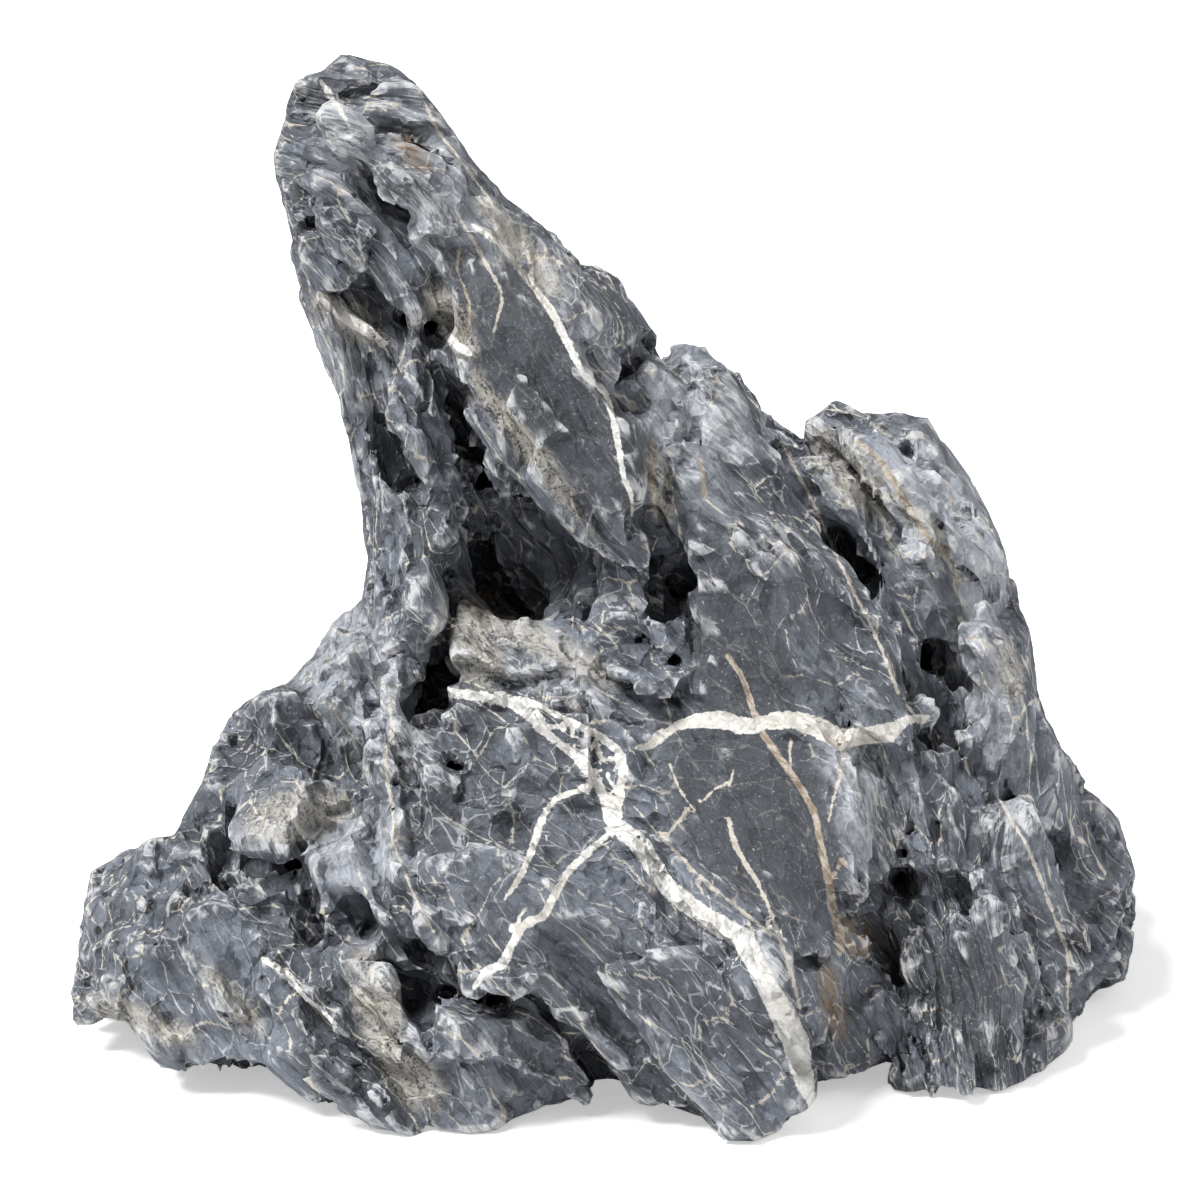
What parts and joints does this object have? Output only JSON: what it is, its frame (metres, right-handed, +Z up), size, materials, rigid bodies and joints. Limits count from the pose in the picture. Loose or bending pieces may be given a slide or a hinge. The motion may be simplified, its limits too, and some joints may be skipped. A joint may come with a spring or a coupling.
{
  "type": "seiryu stone",
  "caption": "Rugged dark blue-grey limestone with a leaning spire over a small cave, white calcite veins and sharp weathered ridges; stands on its own flat patches.",
  "frame": {"origin": "bottom centre of the stone's bounding box, on the ground it stands on", "axes": "+Z up towards the tip of the spire, +X to the right along the longest extent, broad weathered face towards -Y"},
  "size_m": [0.273, 0.2002, 0.238],
  "materials": {
    "limestone": "matte weathered limestone with white and cream calcite veins"
  },
  "bodies": {
    "root": {"seiryu_stone": "limestone"}
  },
  "joints": []
}
